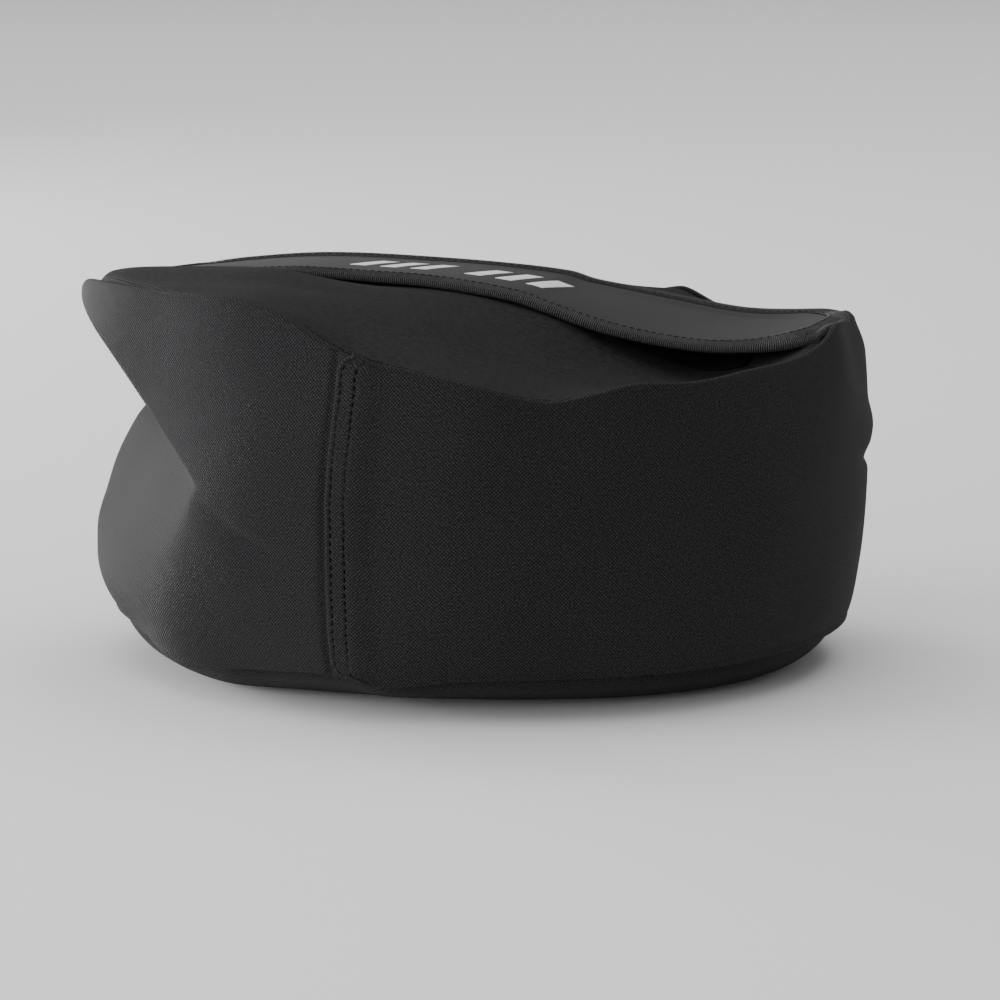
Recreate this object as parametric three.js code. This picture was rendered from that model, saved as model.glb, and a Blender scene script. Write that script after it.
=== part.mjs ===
// A round ballast bag: a drum of coated cloth filled with sand, with a filling slit across its top
// and a bound, hook-and-loop flap that covers the slit. Millimetres, +Z up, standing on Z = 0.
// Angles round the bag are in degrees from the front (-Y), growing towards the right (+X).
import * as THREE from 'three';
import { mergeVertices } from 'three/addons/utils/BufferGeometryUtils.js';

// Cloth and clearances
const CLOTH = 1.6;            // coated bag cloth
const FLAP_CLOTH = 1.2;       // each of the flap's two layers
const TAPE = 1.0;             // seam tape, and the ribbon that binds the edges
const TAPE_WIDTH = 12;
const HOOK_AND_LOOP = 1.2;
const SACK_FILM = 0.8;        // inner sack that keeps the sand in
const GAP = 0.3;              // between pieces that touch
const BINDING_GAP = 0.4;      // between the bound edge and its ribbon
const TOP_GAP = 0.8;          // between the top's curved cloth and what is sewn on it

// The drum
const RIM_RADIUS = 195;
const RIM_HEIGHT = 178;
const BASE_SEAM_RADIUS = 189;
const BASE_SEAM_HEIGHT = 20;
const BASE_PROFILE = [[0, 0], [125, 0], [145, 3.2], [165, 8.8], [178, 14.5], [187.1, 20]]; // radius, height
const BELLY = 10;             // how far the wall stands out between its two seams
const RING_STEP = 7.5;        // degrees between two columns of the drum
const WALL_LEVELS = [0, 0.14, 0.3, 0.46, 0.62, 0.78, 0.9, 1];

// Lapped seams, where one wall panel's folded edge lies over the other panel
const LAP_EDGE = -1.8;        // degrees: the folded edge on top
const LAP_END = 1.5;          // degrees: where the top layer starts to come down
const LAP_FOOT = 2.4;         // degrees: where it is back at the wall
const UNDER_EDGE = 1.3;       // degrees: the hidden edge below

// Filling slit and flap, both along X
const SLIT_Y = 24;
const SLIT_GAP = 0.4;
const BINDING_WIDTH = 8;
const SLIT_HALF_LENGTH = 150;
const FLAP = { left: -184, right: 188, front: -25, back: 60, corner: 28 };
const FLAP_STEP = 20;
const HINGE_HEIGHT = 186;     // top of the bag under the flap's sewn edge, at X = 0
const HINGE_SLOPE = -0.08;    // it falls towards the right
const FLAP_LIFT_BACK = 3.2;   // flap's underside above the top panel, at its sewn edge
const FLAP_LIFT_FRONT = 5.2;  // and at its free edge, over the hook and loop
const STRIP = { left: -150, right: 150, front: -15, back: 5 };

// The sand and its sack
const SACK_MOUTH_RADIUS = 30;
const SACK_WALL_INSET = 2.0;  // from the wall's inner face
const SACK_TOP_INSET = 5.4;   // from the top panel's upper face
const SACK_BASE_GAP = 0.8;    // above the base panel
const SAND_GAP = 0.4;

const mix = (a, b, t) => a + (b - a) * t;
const clamp01 = (t) => Math.min(1, Math.max(0, t));
const smooth = (t) => clamp01(t) ** 2 * (3 - 2 * clamp01(t));
const radians = (degrees) => (degrees * Math.PI) / 180;
const span = (count) => Array.from({ length: count + 1 }, (_, i) => i / count);

// A rounded hill of height 1 at the centre, down to 0 at halfWidth on either side.
const hill = (value, centre, halfWidth) =>
  0.5 + 0.5 * Math.cos(Math.PI * Math.min(1, Math.abs(value - centre) / halfWidth));
const turn = (angle, centre) => ((((angle - centre + 180) % 360) + 360) % 360) - 180;
const hillRound = (angle, centre, halfWidth) => hill(turn(angle, centre), 0, halfWidth);

// The rim: high on the left, with a dip at the right of the front seam and a low rear right.
const rimHeight = (angle) =>
  RIM_HEIGHT +
  12 * hillRound(angle, -100, 110) +
  20 * hillRound(angle, -30, 46) -
  20 * hillRound(angle, 32, 38) -
  8 * hillRound(angle, 70, 42) -
  13 * hillRound(angle, 145, 60);
const rimRadius = (angle) =>
  RIM_RADIUS + 8 * hillRound(angle, -72, 40) - 6 * hillRound(angle, -25, 35);

// The wall: out at the belly, drawn in below the rim on the left where the cloth folds.
const wallHeight = (angle, level) => mix(BASE_SEAM_HEIGHT, rimHeight(angle), level);
function wallCurve(angle, level) {
  const low = level ** 0.7;
  const belly = BELLY * 4 * low * (1 - low);
  const fold = 32 * hillRound(angle, -85, 62) * hill(level, 0.6, 0.38);
  return mix(BASE_SEAM_RADIUS, rimRadius(angle), level) + belly - fold;
}

// The same wall with straight runs between its levels, so that pieces inside follow its facets.
function wallRadius(angle, level) {
  const above = Math.max(1, WALL_LEVELS.findIndex((step) => step >= level - 1e-9));
  const [low, high] = [WALL_LEVELS[above - 1], WALL_LEVELS[above]];
  const share = (level - low) / (high - low);
  return mix(wallCurve(angle, low), wallCurve(angle, high), share);
}

// The top: nearly flat across the middle, sagging at the front right, meeting the rim all round.
function topHeight(x, y) {
  const angle = THREE.MathUtils.radToDeg(Math.atan2(x, -y));
  const share = Math.min(1, Math.hypot(x, y) / rimRadius(angle)) ** 4;
  const sag = 15 * hill(x, 115, 125) * smooth((FLAP.back - y) / (FLAP.back - FLAP.front));
  return mix(HINGE_HEIGHT + HINGE_SLOPE * x - sag, rimHeight(angle), share);
}

const aroundPoint = (angle, radius, z) =>
  new THREE.Vector3(radius * Math.sin(radians(angle)), -radius * Math.cos(radians(angle)), z);

// A closed body from closed sections of equal length, one after another. A ring of sections closes
// on itself; an open run gets a cap at each end, made between a section's facing points. A sheet's
// section runs along one face and back along the other, and both faces are split the same way.
function sweep(sections, { ring = false, sheet = true } = {}) {
  const size = sections[0].length;
  const count = sections.length;
  const triangles = [];
  const at = (i, j) => (i % count) * size + (j % size);
  for (let i = 0; i < (ring ? count : count - 1); i += 1) {
    for (let j = 0; j < size; j += 1) {
      const [a, b, c, d] = [at(i, j), at(i, j + 1), at(i + 1, j + 1), at(i + 1, j)];
      if (sheet && j >= size / 2) triangles.push([a, b, d], [b, c, d]);
      else triangles.push([a, b, c], [a, c, d]);
    }
  }
  for (let k = 0; !ring && k < size / 2 - 1; k += 1) {
    const far = size - 1 - k;
    const end = count - 1;
    triangles.push([at(0, k), at(0, far), at(0, far - 1)], [at(0, k), at(0, far - 1), at(0, k + 1)]);
    triangles.push([at(end, k), at(end, k + 1), at(end, far - 1)]);
    triangles.push([at(end, k), at(end, far - 1), at(end, far)]);
  }
  return closedGeometry(sections.flat(), triangles);
}

// Merges equal points, drops the triangles that collapse, and turns the faces outwards.
function closedGeometry(points, triangles) {
  const loose = new THREE.BufferGeometry().setFromPoints(points);
  loose.setIndex(triangles.flat());
  const merged = mergeVertices(loose, 1e-3);
  const index = merged.index.array;
  const position = merged.attributes.position;
  const corner = (k) => new THREE.Vector3().fromBufferAttribute(position, index[k]);
  const kept = [];
  let volume = 0;
  for (let k = 0; k < index.length; k += 3) {
    const [a, b, c] = [index[k], index[k + 1], index[k + 2]];
    if (a === b || b === c || c === a) continue;
    kept.push([a, b, c]);
    volume += corner(k).dot(corner(k + 1).cross(corner(k + 2)));
  }
  merged.setIndex(kept.flatMap(([a, b, c]) => (volume > 0 ? [a, b, c] : [a, c, b])));
  merged.computeVertexNormals();
  return merged;
}

const ringAngles = span(360 / RING_STEP).slice(0, -1).map((t) => t * 360);

// ---- bag body -------------------------------------------------------------------------------

// The base's outline moved inwards by a distance, square to its slope at each point.
function insetBase(distance) {
  return BASE_PROFILE.map(([radius, height], i) => {
    const [r0, z0] = BASE_PROFILE[Math.max(0, i - 1)];
    const [r1, z1] = BASE_PROFILE[Math.min(BASE_PROFILE.length - 1, i + 1)];
    const length = Math.hypot(r1 - r0, z1 - z0);
    const inward = radius > 0 ? (distance * (z1 - z0)) / length : 0;
    return [radius - inward, height + (distance * (r1 - r0)) / length];
  });
}

function basePanel() {
  const profile = [...BASE_PROFILE, ...insetBase(CLOTH).reverse()];
  return sweep(ringAngles.map((a) => profile.map(([r, z]) => aroundPoint(a, r, z))), { ring: true });
}

// One wall panel, half of the drum. It starts with the folded edge of its lap and ends with the
// edge that the other panel's lap covers.
function wallPanel(start) {
  const laps = [LAP_EDGE, LAP_END, LAP_FOOT].map((a) => start + a);
  const plain = span(180 / RING_STEP).slice(1, -1).map((t) => start + t * 180);
  const angles = [...laps, ...plain, start + 180 + UNDER_EDGE];
  const lapLift = (angle) => (angle - start < LAP_FOOT ? CLOTH + GAP : 0);
  const section = (angle) => {
    const column = (offset) =>
      WALL_LEVELS.map((level) =>
        aroundPoint(angle, wallRadius(angle, level) + offset, wallHeight(angle, level)));
    return [...column(lapLift(angle)), ...column(lapLift(angle) - CLOTH).reverse()];
  };
  return sweep(angles.map(section));
}

// A tape sewn inside the wall along a seam, between two levels given in millimetres.
function seamTape(bottomOf) {
  const section = (angle) => {
    const height = rimHeight(angle) - BASE_SEAM_HEIGHT;
    const at = (z, inset) => {
      const level = (z - BASE_SEAM_HEIGHT) / height;
      return aroundPoint(angle, wallRadius(angle, level) - CLOTH - inset, z);
    };
    const bottom = bottomOf(angle);
    const levels = [bottom, bottom + TAPE_WIDTH / 2, bottom + TAPE_WIDTH];
    const inset = 2 * GAP;
    return [...levels.map((z) => at(z, inset)), ...levels.map((z) => at(z, inset + TAPE)).reverse()];
  };
  return sweep(ringAngles.map(section), { ring: true });
}

// How far a top panel's edge stands back from the slit's centre: room for the ribbon in the slit,
// and edge to edge beyond its ends.
const BOUND_SETBACK = SLIT_GAP / 2 + TAPE + BINDING_GAP;
const slitSetback = (x) =>
  mix(BOUND_SETBACK, SLIT_GAP / 2, smooth((Math.abs(x) - SLIT_HALF_LENGTH - 2) / 12));

// Half of the top, from the slit to the rim. side is -1 for the front half and 1 for the rear.
function topHalf(side) {
  const slitY = SLIT_Y + (side * SLIT_GAP) / 2;
  const edgeRadius = (angle) => rimRadius(angle) - CLOTH - 2 * GAP;
  const rightEnd = THREE.MathUtils.radToDeg(Math.acos(-slitY / edgeRadius(95)));
  const leftEnd = -THREE.MathUtils.radToDeg(Math.acos(-slitY / edgeRadius(-95)));
  const from = side < 0 ? leftEnd : rightEnd;
  const to = side < 0 ? rightEnd : leftEnd + 360;
  const columns = span(26).map((t) => {
    const rim = aroundPoint(mix(from, to, t), edgeRadius(mix(from, to, t)), 0);
    const slitX = rim.x * 0.96;
    const slit = new THREE.Vector3(slitX, SLIT_Y + side * slitSetback(slitX), 0);
    const line = span(8).map((s) => slit.clone().lerp(rim, s));
    const lift = (z) => line.map((p) => new THREE.Vector3(p.x, p.y, topHeight(p.x, p.y) + z));
    return [...lift(0), ...lift(-CLOTH).reverse()];
  });
  return sweep(columns);
}

// The ribbon folded over one edge of the slit.
function slitBinding(side) {
  const section = (x) => {
    const at = (across, above) => {
      const y = SLIT_Y + side * across;
      return new THREE.Vector3(x, y, topHeight(x, y) + above);
    };
    const over = TOP_GAP + TAPE;
    const under = -CLOTH - TOP_GAP;
    const fold = SLIT_GAP / 2;
    return [
      at(BINDING_WIDTH, over), at(fold, over), at(fold, under - TAPE), at(BINDING_WIDTH, under - TAPE),
      at(BINDING_WIDTH, under), at(fold + TAPE, under), at(fold + TAPE, TOP_GAP), at(BINDING_WIDTH, TOP_GAP),
    ];
  };
  const stations = span(20).map((t) => mix(-SLIT_HALF_LENGTH, SLIT_HALF_LENGTH, t));
  return sweep(stations.map(section));
}

// A strip that follows the top panel, from its lower face to its upper face above the panel.
function strip(box, lower, upper) {
  const columns = span(20).map((t) => {
    const x = mix(box.left, box.right, t);
    const ys = span(2).map((s) => mix(box.front, box.back, s));
    const face = (lift) => ys.map((y) => new THREE.Vector3(x, y, topHeight(x, y) + lift(y)));
    return [...face(upper), ...face(lower).reverse()];
  });
  return sweep(columns);
}

// A half section of sand or sack, from the axis at the bottom round to the top. inset is measured
// from the cloth inside.
function fillProfile(angle, inset, innerRadius) {
  const base = insetBase(CLOTH + SACK_BASE_GAP + inset).slice(0, -1);
  const bottom = base.map(([r, z]) => aroundPoint(angle, r, z));
  const levels = WALL_LEVELS.slice(1, -1);
  const side = levels.map((level) =>
    aroundPoint(angle, wallRadius(angle, level) - CLOTH - SACK_WALL_INSET - inset, wallHeight(angle, level)));
  const reach = rimRadius(angle) - CLOTH - SACK_WALL_INSET - 1.5 - inset;
  const rings = [...[1, 0.86, 0.7, 0.5].map((share) => share * reach), SACK_MOUTH_RADIUS, innerRadius];
  const top = rings.map((r) => {
    const p = aroundPoint(angle, r, 0);
    return p.setZ(topHeight(p.x, p.y) - SACK_TOP_INSET - inset);
  });
  return [...bottom, ...side, ...top];
}

function sandFill() {
  const inset = SACK_FILM + SAND_GAP;
  return sweep(ringAngles.map((a) => fillProfile(a, inset, 0)), { ring: true, sheet: false });
}

function innerSack() {
  const section = (angle) => [
    ...fillProfile(angle, 0, SACK_MOUTH_RADIUS),
    ...fillProfile(angle, SACK_FILM, SACK_MOUTH_RADIUS).reverse(),
  ];
  return sweep(ringAngles.map(section), { ring: true });
}

// ---- flap -----------------------------------------------------------------------------------

const flapShare = (y) => (FLAP.back - y) / (FLAP.back - FLAP.front);
const flapUnderside = (x, y) => topHeight(x, y) + mix(FLAP_LIFT_BACK, FLAP_LIFT_FRONT, flapShare(y));
const flapTopSide = (x, y) => flapUnderside(x, y) + 2 * FLAP_CLOTH + GAP;

// Stations along the flap: close together round the corners, even between them.
function flapStations() {
  const turns = [8, 30, 50, 70, 90].map((a) => FLAP.corner * (1 - Math.cos(radians(a))));
  const straight = Math.round((FLAP.right - FLAP.left - 2 * FLAP.corner) / FLAP_STEP);
  const middle = span(straight).map((t) => mix(FLAP.left + FLAP.corner, FLAP.right - FLAP.corner, t));
  return [
    ...turns.slice(0, -1).map((d) => FLAP.left + d),
    ...middle,
    ...turns.slice(0, -1).map((d) => FLAP.right - d).reverse(),
  ];
}

// How far the rounded corners cut the flap's front and back edges in at a station.
function cornerCut(x) {
  const into = Math.min(FLAP.corner, x - FLAP.left, FLAP.right - x);
  return FLAP.corner - Math.sqrt(FLAP.corner ** 2 - (FLAP.corner - into) ** 2);
}

function flapLayer(lower, upper) {
  const columns = flapStations().map((x) => {
    const ys = span(6).map((s) => mix(FLAP.front + cornerCut(x), FLAP.back - cornerCut(x), s));
    const face = (lift) => ys.map((y) => new THREE.Vector3(x, y, flapUnderside(x, y) + lift));
    return [...face(upper), ...face(lower).reverse()];
  });
  return sweep(columns);
}

// The ribbon folded over the flap's whole edge: a flat C section carried round the outline.
function flapBinding() {
  const stations = flapStations();
  const front = stations.map((x) => [x, FLAP.front + cornerCut(x)]);
  const back = stations.map((x) => [x, FLAP.back - cornerCut(x)]).reverse();
  const outline = [...front, ...back];
  const sections = outline.map(([x, y]) => {
    const centreX = Math.min(FLAP.right - FLAP.corner, Math.max(FLAP.left + FLAP.corner, x));
    const middleY = y < (FLAP.front + FLAP.back) / 2 ? FLAP.front + FLAP.corner : FLAP.back - FLAP.corner;
    const inward = new THREE.Vector2(centreX - x, middleY - y).normalize();
    const at = (across, face, above) => {
      const px = x + inward.x * across;
      const py = y + inward.y * across;
      return new THREE.Vector3(px, py, face(px, py) + above);
    };
    const over = BINDING_GAP + TAPE;
    return [
      at(BINDING_WIDTH, flapTopSide, over), at(-over, flapTopSide, over),
      at(-over, flapUnderside, -over), at(BINDING_WIDTH, flapUnderside, -over),
      at(BINDING_WIDTH, flapUnderside, -BINDING_GAP), at(-BINDING_GAP, flapUnderside, -BINDING_GAP),
      at(-BINDING_GAP, flapTopSide, BINDING_GAP), at(BINDING_WIDTH, flapTopSide, BINDING_GAP),
    ];
  });
  return sweep(sections, { ring: true });
}

// ---- assembly -------------------------------------------------------------------------------

const CLOTH_BLACK = { color: 0x1f1f21, roughness: 0.85 };
const TAPE_BLACK = { color: 0x18181a, roughness: 0.75 };
const FUZZ_BLACK = { color: 0x151516, roughness: 0.95 };

function piece(name, geometry, look) {
  const mesh = new THREE.Mesh(geometry, new THREE.MeshStandardMaterial({ metalness: 0, ...look }));
  mesh.name = name;
  return mesh;
}

const bag = new THREE.Group();
bag.add(
  piece('base_panel', basePanel(), CLOTH_BLACK),
  piece('side_wall_right', wallPanel(0), CLOTH_BLACK),
  piece('side_wall_left', wallPanel(180), CLOTH_BLACK),
  piece('top_panel_front', topHalf(-1), CLOTH_BLACK),
  piece('top_panel_rear', topHalf(1), CLOTH_BLACK),
  piece('base_seam_tape', seamTape(() => BASE_SEAM_HEIGHT + 2), TAPE_BLACK),
  piece('top_seam_tape', seamTape((angle) => rimHeight(angle) - TAPE_WIDTH - 4), TAPE_BLACK),
  piece('slit_binding_front', slitBinding(-1), TAPE_BLACK),
  piece('slit_binding_rear', slitBinding(1), TAPE_BLACK),
  piece('loop_strip', strip(STRIP, () => TOP_GAP, () => TOP_GAP + HOOK_AND_LOOP), FUZZ_BLACK),
  piece('inner_sack', innerSack(), { color: 0xd9d6cc, roughness: 0.5 }),
  piece('sand_fill', sandFill(), { color: 0xb89b6e, roughness: 1 }),
);

const flap = new THREE.Group();
const hookTop = (y) => mix(FLAP_LIFT_BACK, FLAP_LIFT_FRONT, flapShare(y)) - GAP;
flap.add(
  piece('flap_lining', flapLayer(0, FLAP_CLOTH), CLOTH_BLACK),
  piece('flap_panel', flapLayer(FLAP_CLOTH + GAP, 2 * FLAP_CLOTH + GAP), CLOTH_BLACK),
  piece('flap_binding', flapBinding(), TAPE_BLACK),
  piece('hook_strip', strip(STRIP, (y) => hookTop(y) - HOOK_AND_LOOP, hookTop), FUZZ_BLACK),
);
bag.add(flap);

export default bag;
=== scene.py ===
"""A round ballast sandbag: a slumped drum of black oxford cloth with lapped wall seams, a filling slit
with bound edges across its top, and a bound flap that is hinged along its rear edge and covers the slit.
Metres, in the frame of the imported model. Angles round the bag are in degrees from the front (-Y),
growing towards the right (+X). Lengths in the tables below are in millimetres."""
import math

import bmesh
import bpy
import numpy as np
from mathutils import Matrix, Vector


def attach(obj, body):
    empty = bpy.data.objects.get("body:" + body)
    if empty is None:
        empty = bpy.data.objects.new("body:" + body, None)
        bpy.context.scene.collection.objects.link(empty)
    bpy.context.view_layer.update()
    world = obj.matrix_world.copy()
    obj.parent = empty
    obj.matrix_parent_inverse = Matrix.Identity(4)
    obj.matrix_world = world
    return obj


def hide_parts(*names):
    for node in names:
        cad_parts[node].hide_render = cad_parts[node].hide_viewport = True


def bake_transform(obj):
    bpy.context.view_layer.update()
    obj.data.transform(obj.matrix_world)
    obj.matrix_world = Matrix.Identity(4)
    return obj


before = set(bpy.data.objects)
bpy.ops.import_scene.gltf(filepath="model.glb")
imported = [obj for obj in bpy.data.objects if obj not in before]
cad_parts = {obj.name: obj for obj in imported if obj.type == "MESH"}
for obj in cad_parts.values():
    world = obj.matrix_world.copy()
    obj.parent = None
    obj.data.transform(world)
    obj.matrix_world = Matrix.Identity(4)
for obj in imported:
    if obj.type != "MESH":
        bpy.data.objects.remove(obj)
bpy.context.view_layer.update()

MM = 0.001

# ---- camera ----

VIEW_AZIMUTH = math.radians(21)
VIEW_ELEVATION = math.radians(9)
VIEW_DISTANCE = 2.4
LENS = 166.3                # millimetres, on a sensor 36 mm wide
AIM = Vector((0, 0, 0.1))   # near the bag's middle
AIM_RIGHT = 0.0114
AIM_DOWN = 0.0203

# ---- sizes ----

CLOTH = 1.2 * MM
FLAP_CLOTH = 0.8 * MM
RIBBON = 0.8 * MM
HOOK_AND_LOOP = 0.9 * MM
FILM_THICKNESS = 0.5 * MM
GAP = 0.25 * MM           # between the loop tape and the top

BASE_SEAM_RADIUS = 189 * MM
BASE_SEAM_HEIGHT = 20.5 * MM
BASE_RADIUS = 185 * MM    # where the base rises and falls with the wall's lower edge in full
WALL_RADIUS = 195 * MM    # at the rim; it also turns degrees into lengths along the cloth
HEM = 1.5 * MM            # radius of the wall's turned lower edge
LIP = 1.8 * MM            # radius of the rolled edge at the rim
FLANGE_STEP = 0.8 * MM    # from the rim's ledge to the flange behind it, and from there to the top's edge
# Base outline, radius and height: where it lies full, and where it is lifted, at the front
BASE_FULL = [(0, 0), (95, 0), (135, 0), (158, 0.8), (171.5, 5), (181, 12.5), (184, 19.5), (184, 25)]
BASE_LIFTED = [(0, 0), (95, 0), (122, 0.3), (142, 3), (165, 8.6), (178.5, 13.2), (183.6, 19), (184, 25)]

# Rim: angle, height
RIM = [
    (-180, 168), (-160, 174), (-140, 179), (-120, 183), (-105, 184), (-90, 185), (-77, 186.5),
    (-67, 192), (-60, 198.5), (-52, 200.5), (-44, 201), (-34, 201), (-24, 202.5), (-17, 202),
    (-10, 196), (-4, 186), (2, 177.5), (8, 173.5), (18, 166.5), (26, 159.5), (32, 156.8),
    (38, 160), (44, 164), (54, 163), (64, 166), (76, 168.5), (84, 173.5), (90, 180), (98, 177.5),
    (108, 177), (118, 176), (126, 168), (138, 163.5), (152, 163), (158, 166), (164, 173.5), (166, 173.5),
    (172, 169.5),
]

# The wall's lower edge: angle, height
SEAM = [
    (-180, 20.5), (-120, 20.5), (-95, 23), (-80, 25.5), (-66, 26.5), (-54, 25.5), (-46, 23.5),
    (-38, 19.5), (-31, 16), (-26, 15), (-21, 17), (-16, 19.3), (-10, 20.5), (-4, 21.5), (1, 20.8),
    (6.5, 17.2), (12, 18.2), (20, 20.5), (60, 20.5), (120, 20.5),
]

# The fold on the left: a ridge that falls to the front, over a flat facet that leans in below it
RIDGE = [
    (-165, 172), (-145, 178), (-125, 183), (-106, 185), (-85, 185), (-69, 188), (-60, 184), (-50, 170),
    (-40, 146), (-30, 123), (-24, 109.5), (-17, 97.5), (-8, 86), (4, 76),
]
FACET_FACES = -48.5         # the direction that the facet faces, in degrees
FACET_TURN = 18             # it follows the bag round from this far beyond that direction
FACET_Z = [0, 35, 48, 57, 72, 87, 106, 124, 134, 145, 165, 190]
FACET_RADIUS = [217, 209, 204, 201.2, 198, 192.5, 186, 176.5, 169, 167, 170, 173]

# The top's middle: its height on lines of constant Y, at the given X
TOP_X = [-200, -160, -120, -90, -60, 0, 50, 90, 130, 180, 200]
TOP_LINES = [
    (-150, [198, 200, 202, 201, 198, 186, 170, 160, 158, 163, 168]),
    (-100, [199, 200, 201, 200.5, 198.5, 189, 171, 159, 155, 159, 167]),
    (-55, [198, 201, 203, 202.5, 198, 190.5, 176, 160, 152, 158, 168]),
    (-25, [189, 190.5, 192.3, 194, 193, 190, 180.5, 163, 153, 162, 170]),
    (20, [186, 187.5, 189.5, 191, 191.5, 189.5, 181, 170, 162, 169, 173]),
    (60, [186, 187, 190, 192, 193, 191.5, 184.5, 179, 174, 175, 176]),
    (120, [185, 187.5, 189.5, 189, 188, 184, 175, 168, 166, 167, 168]),
]

# Filling slit and flap, both along X
SLIT_Y = 24 * MM
SLIT_HALF_LENGTH = 150 * MM
STRIP = {"left": -150, "right": 150, "front": -15, "back": 5}
FLAP = {"left": -184, "right": 187.5, "front": -25, "back": 60, "corner": 30}
PLY_GAP = 0.2 * MM        # between the flap's cloth and its lining
FLAP_STACK = 2 * FLAP_CLOTH + PLY_GAP
# The flap along X: the height of its front and rear edges, and how far its front and ends curl down
FLAP_X = [-185, -150, -120, -92, -56, -14, 29, 44, 73, 101, 130, 154, 178, 198]
FLAP_FRONT = [192, 195.3, 197.3, 199.2, 198.6, 197.2, 191.6, 187.1, 178.6, 173.1, 170.2, 170.9, 176, 181]
FLAP_BACK = [188.5, 193, 196, 197, 196.5, 195, 192, 188, 184, 179.5, 175.5, 176, 178.5, 179]
FLAP_CURL = [1.5, 1.5, 1.5, 1.5, 1.6, 2.2, 1.8, 1.6, 1.6, 1.5, 1.5, 1.6, 5, 7]

# The white print: slanted bars, by the X and Y of their near left corners
BAR_X = [-72, -55, -38, -8, 9, 26]
BAR_Y = 1
BAR_WIDTH = 9
BAR_HEIGHT = 28
BAR_SLANT = 0.27          # how far a bar leans to the right, per length

LAP_START = -0.2          # the folded edge at the front seam; the rear seam is half a turn on
LAP_TURN = 183.4          # a wall panel's whole turn, its hidden edge included
LAP_LIFT = 2.4 * MM
LAP_LEAN = 1.5            # degrees that a lap leans to the right at the rim
LAP_CORNER = 7 * MM
STITCH_ROWS = (0.95, 2.95)  # degrees from the folded edge
STITCH_PITCH = 4 * MM


# ---- numbers ----

def mix(a, b, t):
    """From a at t = 0 to b at t = 1."""
    return a + (b - a) * t


def ease(t):
    """From 0 at t = 0 to 1 at t = 1, with level ends."""
    t = np.clip(t, 0, 1)
    return t * t * (3 - 2 * t)


def hill(value, centre, reach):
    """A rounded hill of height 1 at centre, down to 0 at reach on either side."""
    return 0.5 + 0.5 * np.cos(np.pi * np.minimum(1, np.abs(value - centre) / reach))


def turn(angle, centre=0):
    """The turn from a centre to an angle, between -180 and 180 degrees."""
    return (angle - centre + 180) % 360 - 180


def hill_round(angle, centre, reach):
    """A hill in degrees round the bag."""
    return hill(turn(angle, centre), 0, reach)


def soft_max(a, b, width):
    """The greater of two values, rounded over about a width where they cross."""
    return 0.5 * (a + b + np.sqrt((a - b) ** 2 + width * width))


def curve(x, knots, values):
    """A smooth curve through values at knots. Each value is a number or an array shaped like x."""
    x = np.asarray(x, float)
    k = np.asarray(knots, float)
    v = np.stack([np.broadcast_to(np.asarray(value, float), x.shape) for value in values])
    slope = np.empty_like(v)
    span = k[2:] - k[:-2]
    slope[1:-1] = (v[2:] - v[:-2]) / span.reshape(-1, *([1] * x.ndim))
    slope[0] = (v[1] - v[0]) / (k[1] - k[0])
    slope[-1] = (v[-1] - v[-2]) / (k[-1] - k[-2])
    x = np.clip(x, k[0], k[-1])
    i = np.clip(np.searchsorted(k, x, side="right") - 1, 0, len(k) - 2)
    width = k[i + 1] - k[i]
    t = (x - k[i]) / width

    def pick(table, index):
        return np.take_along_axis(table, index[None], 0)[0]

    a, b = pick(v, i), pick(v, i + 1)
    c, d = pick(slope, i) * width, pick(slope, i + 1) * width
    return (a * (1 + 2 * t) + c * t) * (1 - t) ** 2 + (b * (3 - 2 * t) - d * (1 - t)) * t * t


def round_curve(angle, table, column=1):
    """The same, round the bag, for a table whose first column is the angle."""
    knots = [row[0] for row in table]
    values = [row[column] for row in table]
    knots = [k - 360 for k in knots[-2:]] + knots + [k + 360 for k in knots[:2]]
    return curve(turn(np.asarray(angle, float)), knots, values[-2:] + values + values[:2])


def steps(first, *stops):
    """Numbers from first on: each pair (value, count) goes up to value in count steps."""
    out = [np.array([float(first)])]
    for value, count in stops:
        out.append(np.linspace(out[-1][-1], value, count + 1)[1:])
    return np.concatenate(out)


# ---- the bag's shape ----

def rim_height(angle):
    return round_curve(angle, RIM) * MM


def rim_radius(angle):
    """The rim stands out at its pointed left end, and is flatter at the front left and the right."""
    tip = 10 * hill_round(angle, -72, 40)
    flat = 6 * hill_round(angle, -25, 35)
    shoulder = 1.5 * hill_round(angle, 108, 36)
    return WALL_RADIUS + (tip - flat - shoulder) * MM


def seam_height(angle):
    """The height of the wall's lower edge."""
    return round_curve(angle, SEAM) * MM


def plain_wall(angle, z):
    """The wall's radius without its folds: bellied, and drawn taut above the ridge."""
    seam = seam_height(angle)
    level = np.clip((z - seam) / (rim_height(angle) - seam), 0, 1)
    low = level ** 0.7
    taut = 0.85 * hill_round(angle, -38, 32) * ease((level - 0.2) / 0.4)
    belly = (10 + 2 * hill_round(angle, -69, 50)) * MM * (1 - taut) * 4 * low * (1 - low)
    shoulder = 4.5 * MM * hill_round(angle, 110, 36) * level ** 2 * ease((1.02 - level) * 7)
    tucked = 3 * MM * hill_round(angle, -66, 45) * (1 - ease((z - 0.02) / 0.03))
    tucked = tucked + 6 * MM * hill_round(angle, -46, 18) * (1 - ease((z - 0.02) / 0.05))
    return mix(BASE_SEAM_RADIUS, rim_radius(angle), level) + belly + shoulder - tucked


def wall_radius(angle, z):
    """The wall's outer face, apart from what a lap adds."""
    at_ridge = plain_wall(angle, round_curve(angle, RIDGE) * MM)
    return folded(angle, z, plain_wall(angle, z), at_ridge) + small_folds(angle, z)


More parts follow.
